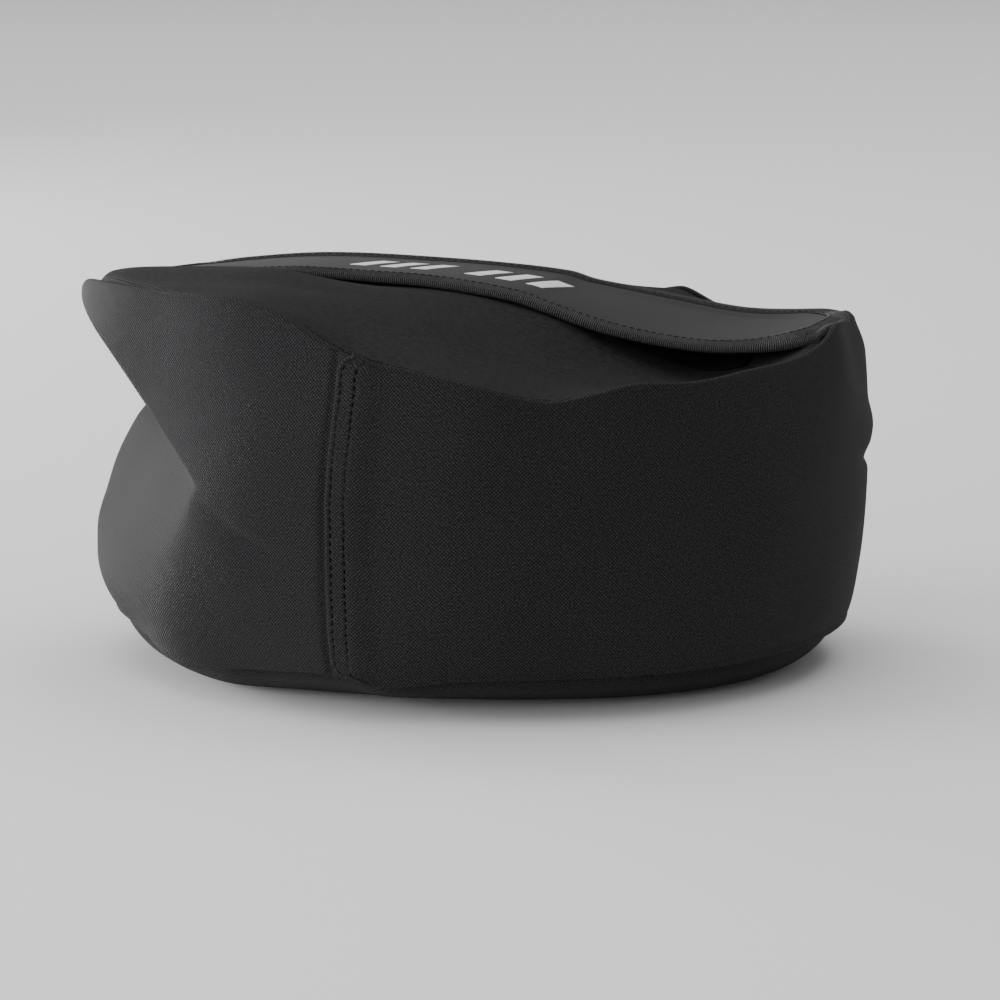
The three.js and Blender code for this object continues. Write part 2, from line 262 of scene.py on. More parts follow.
def folded(angle, z, wall, wall_at_ridge):
    """The wall's radius with the big fold: below the ridge it steps in to the facet, which runs down
    and out until it meets the wall again."""
    ridge = round_curve(angle, RIDGE) * MM
    off = turn(angle, FACET_FACES)
    facet = curve(z, np.array(FACET_Z) * MM, [radius * MM for radius in FACET_RADIUS])
    facet = facet * math.cos(math.radians(FACET_TURN)) / np.cos(np.radians(np.clip(off, -FACET_TURN, 60)))
    underside = wall_at_ridge - (ridge - z)
    inner = soft_max(facet, underside, 3 * MM)
    faint = 1.8 * MM * hill_round(angle, -15, 13) * ease((ridge - z) / (8 * MM))
    wall = wall - faint * (1 - ease((ridge - z) / (28 * MM)))
    crispness = mix(7 * MM, 0.8 * MM, ease((z - 0.055) / 0.05))
    share = ease((105 - np.abs(turn(angle, -60))) / 45)
    return mix(wall, -soft_max(-wall, -inner, crispness), share)


def small_folds(angle, z):
    """Soft waves of the wall, a crease at the right side and pleats below the right rim."""
    s = np.radians(angle) * WALL_RADIUS
    waves = 0.7 * np.sin(s * 31 + 3 * np.sin(z * 21) + 1.0) * np.sin(z * 27 + s * 9)
    waves = waves + 0.5 * np.sin(s * 55 - z * 40 + 2.0) * np.sin(z * 17 - s * 13 + 0.6)
    side = 2.6 * hill_round(angle, 113, 22) * (hill(z, 0.121, 0.016) - 1.2 * hill(z, 0.106, 0.008))
    dip = -2.2 * hill_round(angle - (z - 0.157) * 120, 33, 13) * ease((z - 0.085) / 0.06)
    pleats = 1.6 * np.sin(np.radians(angle * 14 + (z - 0.17) * 2600)) * hill_round(angle, 100, 24)
    pleats = pleats * ease((z - 0.12) / 0.05)
    hem = 0.9 * np.sin(np.radians(angle * 7 + 40)) * (1 - ease((z - 0.02) / 0.03))
    return (waves + side + dip + pleats + hem) * MM


def around(angle, radius, z):
    """Points at angles round the bag's axis, with their radii and heights."""
    a = np.radians(angle)
    a, radius, z = np.broadcast_arrays(a, radius, z)
    return np.stack([radius * np.sin(a), -radius * np.cos(a), z], -1)


def angle_of(x, y):
    """The angle round the bag's axis at which a point lies."""
    return np.degrees(np.arctan2(x, -y))


def top_height(x, y):
    """The top's upper face: the height of its middle, meeting the rim all round."""
    x, y = np.broadcast_arrays(x, y)
    knots = np.array(TOP_X) * MM
    lines = [curve(x, knots, np.array(heights) * MM) for _, heights in TOP_LINES]
    middle = curve(y, [line * MM for line, _ in TOP_LINES], lines)
    angle = angle_of(x, y)
    steepness = 7 + 15 * hill_round(angle, -75, 50) + 12 * hill_round(angle, -48, 30)
    steepness = steepness + 6 * hill_round(angle, 60, 50)
    share = np.clip(np.hypot(x, y) / rim_radius(angle), 0, 1) ** steepness
    return mix(middle, rim_height(angle) - 1.2 * MM, share)


def inside_flap(x, y):
    """How far a point is inside the flap's outline, which is a rectangle with round corners."""
    corner = FLAP["corner"] * MM
    half_x = (FLAP["right"] - FLAP["left"]) / 2 * MM - corner
    half_y = (FLAP["back"] - FLAP["front"]) / 2 * MM - corner
    dx = np.abs(x - (FLAP["right"] + FLAP["left"]) / 2 * MM) - half_x
    dy = np.abs(y - (FLAP["back"] + FLAP["front"]) / 2 * MM) - half_y
    outside = np.hypot(np.maximum(dx, 0), np.maximum(dy, 0))
    return corner - outside - np.minimum(np.maximum(dx, dy), 0)


def flap_height(x, y):
    """The flap's upper face: arched across, its free edge and ends curling down, clear of the top."""
    x, y = np.broadcast_arrays(x, y)
    knots = np.array(FLAP_X) * MM
    front = curve(x, knots, np.array(FLAP_FRONT) * MM)
    back = curve(x, knots, np.array(FLAP_BACK) * MM)
    share = (FLAP["back"] * MM - y) / ((FLAP["back"] - FLAP["front"]) * MM)
    arch = 6 * MM * np.clip(share, 0, 1) * (1 - np.clip(share, 0, 1))
    curl = curve(x, knots, np.array(FLAP_CURL) * MM) * ease((share - 0.12) / 0.35)
    inside = inside_flap(x, y)
    reach = (7 + 6 * ease((x - 0.15) / 0.03)) * MM
    curl = curl * np.clip(1 - inside / reach, 0, 1.3) ** 2
    lifted = 1.2 * MM * (1 - ease(share / 0.13))
    clear = mix(3.4 * MM, 4.6 * MM, ease((inside - 8 * MM) / (4 * MM)))
    clear = clear - 2.2 * MM * ease((x - 0.168) / 0.012)
    return soft_max(mix(back, front, share) + arch + lifted - curl, top_height(x, y) + clear, 0.8 * MM)


# ---- meshes ----

def unit(vectors, least=0.0):
    return vectors / np.maximum(np.linalg.norm(vectors, axis=-1, keepdims=True), least)


def normals(grid, ring=False):
    """Unit normals of a grid of points whose axes are rows and columns."""
    if ring:
        down = np.roll(grid, -1, 0) - np.roll(grid, 1, 0)
    else:
        down = np.gradient(grid, axis=0)
    return unit(np.cross(down, np.gradient(grid, axis=1)), 1e-12)


def set_uv(obj, uvs):
    """Gives each vertex of a piece its UV."""
    corner = np.empty(len(obj.data.loops), np.int32)
    obj.data.loops.foreach_get("vertex_index", corner)
    layer = obj.data.uv_layers["cloth"].data
    layer.foreach_set("uv", uvs.reshape(-1, 2)[corner].astype(np.float32).ravel())


def finished_object(mesh, uvs, material):
    """A smooth-shaded object of a mesh, with its UVs and its material."""
    mesh.uv_layers.new(name="cloth")
    mesh.polygons.foreach_set("use_smooth", [True] * len(mesh.polygons))
    mesh.materials.append(material)
    obj = bpy.data.objects.new(mesh.name, mesh)
    bpy.context.scene.collection.objects.link(obj)
    set_uv(obj, uvs)
    return obj


def mesh_object(name, points, faces, uvs, material):
    """A mesh from points, faces and one UV per point, all as arrays."""
    mesh = bpy.data.meshes.new(name)
    mesh.from_pydata(points.tolist(), [], faces.tolist())
    return finished_object(mesh, uvs, material)


def grid_faces(rows, columns, ring=False, tube=False):
    """Quads of a grid. ring joins the last row to the first, tube the last column to the first."""
    i = np.arange(rows if ring else rows - 1)
    j = np.arange(columns if tube else columns - 1)
    i, j = np.meshgrid(i, j, indexing="ij")
    down, right = (i + 1) % rows, (j + 1) % columns
    quads = [i * columns + j, down * columns + j, down * columns + right, i * columns + right]
    return np.stack(quads, -1).reshape(-1, 4)


def cloth_uv(grid):
    """UVs in metres: the running length down the rows and across the columns."""
    across = np.linalg.norm(np.diff(grid, axis=1), axis=-1)
    down = np.linalg.norm(np.diff(grid, axis=0), axis=-1).mean(1)
    v = np.concatenate([np.zeros((grid.shape[0], 1)), np.cumsum(across, 1)], 1)
    u = np.concatenate([[0], np.cumsum(down)])
    return np.stack([np.broadcast_to(u[:, None], v.shape), v], -1)


def sheet(name, grid, material, thickness=CLOTH, uv=None):
    """A closed sheet: the grid is one face, the other lies a thickness behind its normals, and the
    two meet along the edges."""
    rows, columns = grid.shape[:2]
    inset = np.zeros((rows, columns, 1))
    inset[1:-1, 1:-1] = thickness
    back = grid - normals(grid) * inset
    count = rows * columns
    faces = grid_faces(rows, columns)
    index = np.where(inset.reshape(-1) == 0, np.arange(count), np.arange(count) + count)
    faces = np.concatenate([faces, index[faces[:, ::-1]]])
    points = np.concatenate([grid.reshape(-1, 3), back.reshape(-1, 3)])
    uvs = np.concatenate([(cloth_uv(grid) if uv is None else uv).reshape(-1, 2)] * 2)
    used, faces = np.unique(faces, return_inverse=True)
    return mesh_object(name, points[used], faces.reshape(-1, 4), uvs[used], material)


def loop_body(name, sections, material, ring=False):
    """A closed body from closed sections in order. An open run of sections gets flat ends."""
    rows, columns = sections.shape[:2]
    faces = grid_faces(rows, columns, ring, tube=True).tolist()
    if not ring:
        first = list(range(columns))
        last = [(rows - 1) * columns + j for j in reversed(range(columns))]
        faces += [first, last]
    mesh = bpy.data.meshes.new(name)
    mesh.from_pydata(sections.reshape(-1, 3).tolist(), [], faces)
    return finished_object(mesh, cloth_uv(sections), material)


def sample(along, values, at):
    """Points or directions along a line, at running lengths on it."""
    return np.stack([np.interp(at, along, values[:, k]) for k in range(3)], -1)


def stitches(name, lines, material, radius=0.34 * MM, length=0.72):
    """Rows of thread stitches, each bowed up from the cloth at its middle. Each line is (points,
    normals) along a seam, and length is a stitch's share of the pitch."""
    turns = np.radians(np.arange(0, 360, 60))
    profile = np.array([(-1, 0), (-0.86, 0.75), (-0.4, 1), (0.4, 1), (0.86, 0.75), (1, 0)])
    size = len(profile) * len(turns)
    one = grid_faces(len(profile), len(turns), tube=True)
    all_points, all_faces, total = [], [], 0
    for points, outs in lines:
        along = np.concatenate([[0], np.cumsum(np.linalg.norm(np.diff(points, axis=0), axis=1))])
        count = max(1, int(along[-1] / STITCH_PITCH))
        middles = (np.arange(count) + 0.5) * along[-1] / count
        half = STITCH_PITCH * length / 2
        tail = sample(along, points, middles - half)
        head = sample(along, points, middles + half)
        out = unit(sample(along, outs, middles))[:, None]
        forward = (head - tail)[:, None]
        side = unit(np.cross(forward, out))
        centre = ((tail + head) / 2)[:, None]
        spoke = side * np.cos(turns)[:, None] + out * np.sin(turns)[:, None] * 0.8
        rings = []
        for t, r in profile:
            sunk = out * (abs(t) ** 3) * radius * 0.9
            rings.append(centre + forward * (t / 2) - sunk + spoke * radius * r)
        all_points.append(np.stack(rings, 1).reshape(-1, 3))
        all_faces.append((one[None] + (np.arange(count) * size)[:, None, None]).reshape(-1, 4) + total)
        total += count * size
    points = np.concatenate(all_points)
    return mesh_object(name, points, np.concatenate(all_faces), points[:, :2], material)


# ---- materials ----

class Nodes:
    """A short way to write a material's node tree."""

    def __init__(self, name):
        self.material = bpy.data.materials.new(name)
        self.material.use_nodes = True
        self.tree = self.material.node_tree
        self.shader = self.tree.nodes["Principled BSDF"]

    def add(self, kind, settings=None, **inputs):
        """A node of a kind; inputs are named by socket, or i0, i1, ... by place."""
        node = self.tree.nodes.new("ShaderNode" + kind)
        for key, value in (settings or {}).items():
            setattr(node, key, value)
        for key, value in inputs.items():
            place = int(key[1:]) if key[1:].isdigit() else key.replace("_", " ")
            self.put(node.inputs[place], value)
        return node

    def put(self, socket, value):
        if isinstance(value, bpy.types.Node):
            value = value.outputs[0]
        if isinstance(value, bpy.types.NodeSocket):
            self.tree.links.new(value, socket)
        else:
            socket.default_value = value

    def math(self, operation, a, b=0.0):
        return self.add("Math", {"operation": operation}, i0=a, i1=b)

    def ramp(self, value, low, high, to_low=0.0, to_high=1.0):
        return self.add(
            "MapRange", None, Value=value, From_Min=low, From_Max=high, To_Min=to_low, To_Max=to_high
        )

    def finish(self, **inputs):
        for key, value in inputs.items():
            self.put(self.shader.inputs[key.replace("_", " ")], value)
        return self.material


def woven(name, colour, pitch, depth, roughness, sheen, contrast, ribs=False, grain=1.4 * MM):
    """Plain-weave cloth, or ribbed ribbon, from its UVs in metres. pitch is one rib or one pair of threads,
    depth the bump's strength, and grain the size of the fibres' unevenness. contrast is how strongly the
    weave's relief shade and highlights are painted into the colour."""
    n = Nodes(name)
    uv = n.add("UVMap", {"uv_map": "cloth"})
    split = n.add("SeparateXYZ", None, i0=uv)
    wobble = n.add("TexNoise", None, Vector=uv, Scale=90.0, Detail=2.0)
    shift = n.ramp(wobble, 0.0, 1.0, -0.8, 0.8)
    per_metre = 2 * math.pi / pitch
    warp = n.math("SINE", n.math("ADD", n.math("MULTIPLY", split.outputs[0], per_metre), shift))
    weft = n.math("SINE", n.math("ADD", n.math("MULTIPLY", split.outputs[1], per_metre), shift))
    weave = warp if ribs else n.math("MULTIPLY", warp, weft)
    fibre = n.add("TexNoise", None, Vector=uv, Scale=1 / grain, Detail=3.0)
    height = n.math("ADD", weave, n.math("MULTIPLY", fibre, 0.7))
    place = n.add("TexCoord").outputs["Object"]
    cloud = n.add("TexNoise", None, Vector=place, Scale=9.0, Detail=4.0)
    patch = n.ramp(cloud, 0.3, 0.7, 0.88, 1.12)
    # Painted shade and highlight: the colour is lighter on the weave's raised crossings and darker in its
    # hollows, in place of the light on the threads' relief.
    thread = n.ramp(weave, -1.0, 1.0, 1 - contrast, 1 + contrast)
    # Partly random fibre tone, partly painted glints: the colour is lighter where the fibre noise raises the
    # surface.
    fibre_tone_and_glint = n.ramp(fibre, 0.3, 0.7, 0.3, 1.7)
    shade = n.math("MULTIPLY", n.math("MULTIPLY", patch, thread), fibre_tone_and_glint)
    tint = n.add("VectorMath", {"operation": "SCALE"}, i0=colour, Scale=shade)
    bump = n.add("Bump", None, Strength=depth, Distance=pitch * 0.25, Height=height)
    rough = n.ramp(fibre, 0.2, 0.8, roughness - 0.08, roughness + 0.08)
    return n.finish(
        Base_Color=tint, Roughness=rough, Normal=bump, Sheen_Weight=sheen, Sheen_Roughness=0.45,
        Specular_IOR_Level=0.1,
    )


def fuzzy(name, colour):
    """The matt pile of hook-and-loop tape; its colour, darker than the cloth's, carries painted shade for
    the recess under the flap.
    """
    n = Nodes(name)
    place = n.add("TexCoord").outputs["Object"]
    pile = n.add("TexNoise", None, Vector=place, Scale=1800.0, Detail=4.0)
    clump = n.add("TexVoronoi", None, Vector=place, Scale=900.0)
    height = n.math("ADD", pile, clump)
    shade = n.ramp(height, 0.4, 1.3, 0.6, 1.5)
    tint = n.add("VectorMath", {"operation": "SCALE"}, i0=colour, Scale=shade)
    bump = n.add("Bump", None, Strength=0.8, Distance=0.0006, Height=height)
    return n.finish(Base_Color=tint, Roughness=0.95, Normal=bump, Specular_IOR_Level=0.1)


def thread_with_hole_shade():
    """Black sewing thread, banded by its twist; its colour, darker than the cloth's, carries painted shade
    of the stitch holes.
    """
    n = Nodes("thread")
    place = n.add("TexCoord").outputs["Object"]
    ply = n.add("TexWave", {"wave_type": "BANDS"}, Vector=place, Scale=700.0, Distortion=2.0)
    shade = n.ramp(ply, 0.0, 1.0, 0.6, 1.3)
    # Painted shade: the thread's black is darkened past the cloth's to stand in for the shade in its stitch
    # holes.
    tint = n.add("VectorMath", {"operation": "SCALE"}, i0=(0.003, 0.003, 0.003), Scale=shade)
    bump = n.add("Bump", None, Strength=0.4, Distance=0.0002, Height=ply)
    return n.finish(Base_Color=tint, Roughness=0.9, Normal=bump, Specular_IOR_Level=0.05)


def white_print():
    """A rubbery white print on the weave."""
    n = Nodes("print_white")
    place = n.add("TexCoord").outputs["Object"]
    grain = n.add("TexNoise", None, Vector=place, Scale=1500.0, Detail=2.0)
    worn = n.add("TexNoise", None, Vector=place, Scale=60.0, Detail=5.0)
    shade = n.ramp(worn, 0.3, 0.7, 0.93, 1.03)
    tint = n.add("VectorMath", {"operation": "SCALE"}, i0=(0.86, 0.86, 0.86), Scale=shade)
    bump = n.add("Bump", None, Strength=0.25, Distance=0.0003, Height=grain)
    rough = n.ramp(grain, 0.3, 0.7, 0.45, 0.6)
    return n.finish(Base_Color=tint, Roughness=rough, Normal=bump)


def sack_film():
    """The woven plastic film of the inner sack."""
    n = Nodes("sack_film")
    place = n.add("TexCoord").outputs["Object"]
    tape = n.add("TexChecker", None, Vector=place, Scale=400.0)
    crease = n.add("TexNoise", None, Vector=place, Scale=40.0, Detail=6.0)
    strands = n.ramp(tape.outputs[1], 0.0, 1.0, 0.92, 1.0)
    shade = n.math("ADD", strands, n.ramp(crease, 0.3, 0.7, -0.06, 0.06))
    tint = n.add("VectorMath", {"operation": "SCALE"}, i0=(0.7, 0.68, 0.62), Scale=shade)
    bump = n.add("Bump", None, Strength=0.5, Distance=0.002, Height=crease)
    return n.finish(Base_Color=tint, Roughness=0.5, Normal=bump)


def dry_sand():
    """Coarse sand, its grains about 0.7 mm across."""
    n = Nodes("sand")
    place = n.add("TexCoord").outputs["Object"]
    grain = n.add("TexVoronoi", None, Vector=place, Scale=1400.0)
    drift = n.add("TexNoise", None, Vector=place, Scale=35.0, Detail=5.0)
    shade = n.math("MULTIPLY", n.ramp(grain, 0.0, 1.0, 0.7, 1.2), n.ramp(drift, 0.3, 0.7, 0.85, 1.15))
    tint = n.add("VectorMath", {"operation": "SCALE"}, i0=(0.48, 0.36, 0.22), Scale=shade)
    bump = n.add("Bump", None, Strength=0.9, Distance=0.0008, Height=grain)
    return n.finish(Base_Color=tint, Roughness=1.0, Normal=bump)


BLACK = (0.0155, 0.0155, 0.0167)
# The ribbon's black, lightened past the cloth's as a painted highlight on its ribs.
RIBBON_BLACK_AND_HIGHLIGHT = (0.045, 0.045, 0.047)
RIB_PITCH = 1.1 * MM
BAG = woven(
    "bag_cloth", BLACK, 1.8 * MM, depth=0.75, roughness=0.75, sheen=0.03, contrast=0.9, grain=1.1 * MM
)
TOP = woven(
    "top_cloth", BLACK, 2.2 * MM, depth=0.9, roughness=0.75, sheen=0.03, contrast=1, grain=3.5 * MM
)
FLAP_BLACK = woven("flap_cloth", BLACK, 1.2 * MM, depth=0.3, roughness=0.6, sheen=0.06, contrast=0.4)
RIBBED = woven(
    "ribbon", RIBBON_BLACK_AND_HIGHLIGHT, RIB_PITCH, depth=0.9, roughness=0.6, sheen=0.1, contrast=0.9, ribs=True
)
# Painted shade: the tapes' black is darkened so that the recess under the flap reads dark.
PILE_WITH_RECESS_SHADE = fuzzy("hook_and_loop", (0.006, 0.006, 0.0065))
THREAD_WITH_HOLE_SHADE = thread_with_hole_shade()
PRINT = white_print()
FILM = sack_film()
SAND = dry_sand()


def root_piece(obj, slot, *nodes):
    """A piece that rides on the bag, and the nodes that it stands for; slot is not used."""
    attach(obj, "root")
    if nodes:
        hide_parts(*nodes)
    return obj


# ---- walls ----

def near_stitches(s):
    """1 on a row of stitches, down to 0 beside it, s degrees on from the folded edge."""
    return sum(np.exp(-(((s - row) / 0.2) ** 2)) for row in STITCH_ROWS)


def lap_offset(s):
    """How far a panel stands out, s degrees on from its folded edge: the lap's fold, the furrow of its
    stitches, and far on, a groove beside the next panel's fold."""
    fold = np.sqrt(1 - (1 - np.clip(s / 0.5, 0, 1)) ** 2)
    lift = mix(0.3 * MM, LAP_LIFT, fold) * (1 - ease((s - 3.4) / 4.5))
    groove = -1.3 * MM * np.exp(-(((s - 179.6) / 0.4) ** 2))
    return np.where((s >= 0) & (s < 8), lift - 0.35 * MM * near_stitches(s), groove)


def wall_face(start, s, level):
    """Points of a wall panel, s degrees on from its folded edge, at a share of its height."""
    angle = start + s
    seam, rim = seam_height(angle) + HEM, rim_height(angle) - LIP
    z = mix(seam, rim, level)
    into_corner = np.clip(1 - np.minimum(z - seam, rim - z) / LAP_CORNER, 0, 1)
    rounding = LAP_CORNER * (1 - np.sqrt(1 - into_corner ** 2))
    angle = angle + np.degrees(rounding / WALL_RADIUS) * (1 - ease(s / 7))
    near_lap = hill_round(angle, LAP_START, 40) + hill_round(angle, LAP_START + 180, 40)
    angle = angle + LAP_LEAN * near_lap * ease((z - 0.1) / 0.09)
    dimples = 0.3 * MM * near_stitches(s) * np.cos(2 * np.pi * (z - seam) / STITCH_PITCH)
    pucker = 0.35 * MM * np.sin(z * 300 + 1) * hill(s, 1.6, 5)
    flare = 0.9 * MM * (1 - ease((z - seam) / (2.5 * MM)))
    return angle, wall_radius(angle, z) + lap_offset(s) + dimples + pucker + flare, z


def turned_hem(angle, radius, z):
    """The wall's lower edge, from the hem's free edge inside, round under it to the outer face."""
    under = np.radians([180, 150, 120, 90, 60, 30])
    inside = around(angle, radius - 2 * HEM, z + np.array([[6, 3]]) * MM)
    fold = around(angle, radius - HEM * (1 - np.cos(under)), z - HEM * np.sin(under))
    return np.concatenate([inside, fold], 1)


def rolled_rim(angle, radius, z):
    """The wall's upper edge: a rolled lip, a ledge behind it, and a flange that goes down beside the
    top's turned-down edge and in below it."""
    over = np.radians([18, 36, 54, 72, 90])
    lip = around(angle, radius - LIP * (1 - np.cos(over)), z + LIP * np.sin(over))
    crest = z + LIP
    welt = (1.6 + 3.2 * hill_round(angle, -9, 11)) * MM
    ledge = around(angle, radius - LIP - welt * np.array([[0.4, 0.8, 1]]), crest - 0.2 * MM)
    inside = radius - LIP - welt - FLANGE_STEP
    flange = around(angle, inside, crest - np.array([[0.9, 3, 7]]) * MM)
    beside = np.minimum(inside, top_edge(angle) + FLANGE_STEP)
    below = np.minimum(top_foot(angle) - 1.5 * MM, crest - 7.5 * MM)
    foot = around(angle, np.concatenate([beside, top_edge(angle) - 1.5 * MM], 1), below)
    return np.concatenate([lip, ledge, flange, foot], 1)


def wall_panel(name, start, node):
    """One of the two wall panels, from its folded edge to the edge that the other one laps over."""
    s = steps(0, (0.3, 8), (4.4, 40), (8, 8), (176, 250), (LAP_TURN, 16))[:, None]
    fine = 240
    level = steps(0, (0.05, fine // 16), (0.95, fine), (1, fine // 16))[None]
    angle, radius, z = wall_face(start, s, level)
    hem = turned_hem(angle[:, :1], radius[:, :1], z[:, :1])
    rim = rolled_rim(angle[:, -1:], radius[:, -1:], z[:, -1:])
    grid = np.concatenate([hem, around(angle, radius, z), rim], 1)
    obj = root_piece(sheet(name, grid, BAG), "bag_cloth", node)
    return obj


def lap_stitches(name, start):
    """The two rows of stitches on a panel's folded edge."""
    rows = []
    for row in STITCH_ROWS:
        level = np.linspace(0.015, 0.985, 160)
        angle, radius, z = wall_face(start, np.full_like(level, row), level)
        out = around(angle, np.ones_like(angle), 0 * z)
        rows.append((around(angle, radius + 0.1 * MM, z), out))
    return root_piece(stitches(name, rows, THREAD_WITH_HOLE_SHADE), "ribbon")


# ---- top and base ----

def top_edge(angle):
    """The radius where the top's cloth turns down beside the rim."""
    groove = 5.6 + 3.4 * hill_round(angle, -9, 11) + 1.8 * hill_round(angle, -53, 13)
    groove = groove + 2 * hill_round(angle, -68, 20) + 4.5 * hill_round(angle, -48, 24)
    return rim_radius(angle) - groove * MM


def round_over(angle):
    """How far the top's cloth turns down at its edge."""
    return (5 + 4 * hill_round(angle, -66, 45)) * MM


def top_foot(angle):
    """The height of the lower end of the top's turned-down edge."""
    edge = around(angle, top_edge(angle), 0)
    return top_height(edge[..., 0], edge[..., 1]) - round_over(angle)


def top_panel(name, side, node):
    """Half of the top, from the slit to the rim. side is -1 for the front half, 1 for the rear."""
    right = math.degrees(math.acos(-SLIT_Y / top_edge(96.0)))
    left = -math.degrees(math.acos(-SLIT_Y / top_edge(-96.0)))
    angles = np.linspace(left, right, 300) if side < 0 else np.linspace(right, left + 360, 260)
    rim = around(angles, top_edge(angles), 0)[:, None]
    slit_x = rim[..., 0] * 0.96
    setback = mix(2.0, 0.3, ease((np.abs(slit_x) - SLIT_HALF_LENGTH) / (12 * MM))) * MM
    slit = np.stack([slit_x, SLIT_Y + side * setback, rim[..., 2]], -1)
    grid = mix(slit, rim, steps(0, (0.9, 60), (0.97, 8), (1, 8))[None, :, None])
    x, y = grid[..., 0], grid[..., 1]
    angle = angle_of(x, y)
    from_edge = np.clip((top_edge(angle) - np.hypot(x, y)) / round_over(angle), 0, 1)
    turned = round_over(angle) * (1 - np.sqrt(1 - (1 - from_edge) ** 2))
    waves = 0.5 * MM * np.sin(x * 47 + 2 * np.sin(y * 31)) * np.sin(y * 53 + x * 12)
    grid[..., 2] = top_height(x, y) - turned + waves * from_edge
    obj = sheet(name, grid[:, ::-1], TOP, uv=grid[:, ::-1, :2].copy())
    root_piece(obj, "bag_cloth", node)
    return obj


def base_profile(angle, t):
    """Radius and height of the base's outer face at a share t of its outline."""
    lifted = hill_round(angle, 8, 80)
    knots = np.linspace(0, 1, len(BASE_FULL))

    def blended(k):
        full = curve(t, knots, [point[k] for point in BASE_FULL])
        front = curve(t, knots, [point[k] for point in BASE_LIFTED])
        return mix(full, front, lifted) * MM

    radius, z = blended(0), blended(1)
    radius = radius - 9 * MM * hill_round(angle, -32, 40) * ease((t - 0.5) / 0.3)
    raised = (seam_height(angle) - BASE_SEAM_HEIGHT) * (radius / BASE_RADIUS) ** 8
    return radius, np.maximum(z + raised, 0)


def base_panel():
    """The round bottom, from its middle up inside the wall's lower edge."""
    angle = np.linspace(0, 360, 361)[:-1][:, None]
    t = np.linspace(0, 1, 90)[None]
    outer = around(angle, *base_profile(angle, t))
    inner = outer - CLOTH * normals(outer, ring=True)
    inner[:, :2, 2] = CLOTH
    loop = np.concatenate([outer, inner[:, ::-1]], 1)
    obj = loop_body("base_cloth", loop, BAG, ring=True)
    reach = cloth_uv(loop)[..., 1]
    reach = np.minimum(reach, reach[:, -1:] - reach)
    set_uv(obj, around(angle, reach, 0)[..., :2])
    root_piece(obj, "bag_cloth", "base_panel")
    return obj


# ---- what is sewn on the top ----

def slit_points(x, across, above, side):
    """Points beside the slit: a distance across from its middle, and a height above the top."""
    y = SLIT_Y + side * across
    return np.stack(np.broadcast_arrays(x, y, top_height(x, y) + above), -1)


def slit_ribbon(name, side, node):
    """The ribbon folded over one edge of the slit, a U section along X."""
    turned = np.radians(np.arange(0, 181, 22.5))
    nose = [(1.65 - 1.45 * math.sin(a), -0.6 + 1.45 * math.cos(a)) for a in turned]
    outer = [(8, 0.1), (7.8, 0.7), (5, 0.8)] + nose + [(5, -2), (7.8, -1.9), (8, -1.35)]
    inner = [(7.9, -1.25), (1.75, -1.25), (1.75, 0.05), (7.9, 0.05)]
    section = np.array(outer + inner) * MM
    x = np.linspace(-SLIT_HALF_LENGTH, SLIT_HALF_LENGTH, 240)[:, None]
    points = slit_points(x, section[None, :, 0], section[None, :, 1], side)
    return root_piece(loop_body(name, points[:, ::side], RIBBED), "ribbon", node)


def slit_stitches():
    """A row of stitches along each of the slit's ribbons."""
    x = np.linspace(-SLIT_HALF_LENGTH + 2 * MM, SLIT_HALF_LENGTH - 2 * MM, 300)
    up = np.tile([0.0, 0.0, 1.0], (len(x), 1))
    rows = [(slit_points(x, 6.6 * MM, 0.85 * MM, side), up) for side in (-1, 1)]
    return root_piece(stitches("slit_stitches", rows, THREAD_WITH_HOLE_SHADE), "ribbon")


def strip_grid(face, offset):
    """A grid over the hook-and-loop strips' rectangle, set off a curved face along its normals."""
    x = np.linspace(STRIP["left"], STRIP["right"], 200)[:, None] * MM
    y = np.linspace(STRIP["front"], STRIP["back"], 18)[None] * MM
    grid = np.stack(np.broadcast_arrays(x, y, face(x, y)), -1)
    return grid + normals(grid) * offset


def loop_tape():
    """The loop tape on the top, in front of the slit."""
    grid = strip_grid(top_height, GAP + HOOK_AND_LOOP)
    obj = root_piece(sheet("loop_tape", grid, PILE_WITH_RECESS_SHADE, HOOK_AND_LOOP), "hook_and_loop", "loop_strip")


# ---- flap ----

def flap_outline(spacing):
    """Points round the flap's outline with their inward directions, in plan, and running lengths."""
    corner = FLAP["corner"] * MM
    left, right, front, back = (FLAP[k] * MM for k in ("left", "right", "front", "back"))
    centres = [
        (right - corner, front + corner), (right - corner, back - corner),
        (left + corner, back - corner), (left + corner, front + corner),
    ]
    points, inward, lengths = [], [], []

    def add(cx, cy, a, along, length):
        px, py = cx + corner * math.cos(a), cy + corner * math.sin(a)
        points.append((px - math.sin(a) * along, py + math.cos(a) * along))
        inward.append((-math.cos(a), -math.sin(a)))
        lengths.append(length)

    length = 0.0
    for k, (cx, cy) in enumerate(centres):
        first = math.radians(-90 + 90 * k)
        arc = corner * math.pi / 2
        for d in np.arange(0, arc, spacing):
            add(cx, cy, first + d / corner, 0, length + d)
        length += arc
        next_x, next_y = centres[(k + 1) % 4]
        run = math.hypot(next_x - cx, next_y - cy)
        for d in np.arange(0, run, spacing):
            add(cx, cy, first + math.pi / 2, d, length + d)
        length += run
    return np.array(points), np.array(inward), np.array(lengths)


def flap_frame(xy):
    """Points on the flap's upper face and its unit normals there."""
    x, y, e = xy[..., 0], xy[..., 1], 0.3 * MM
    z = flap_height(x, y)
    sx = (flap_height(x + e, y) - flap_height(x - e, y)) / (2 * e)
    sy = (flap_height(x, y + e) - flap_height(x, y - e)) / (2 * e)
    return np.stack([x, y, z], -1), unit(np.stack([-sx, -sy, np.ones_like(z)], -1))


def ribbon_share(xy):
    """The share of the ribbon's reach that lies on the flap; the rest is taken up round its edge,
    except at the right end, where the ribbon lies flat."""
    return mix(0.62, 1, ease((xy[..., :1] - 0.125) / 0.05))


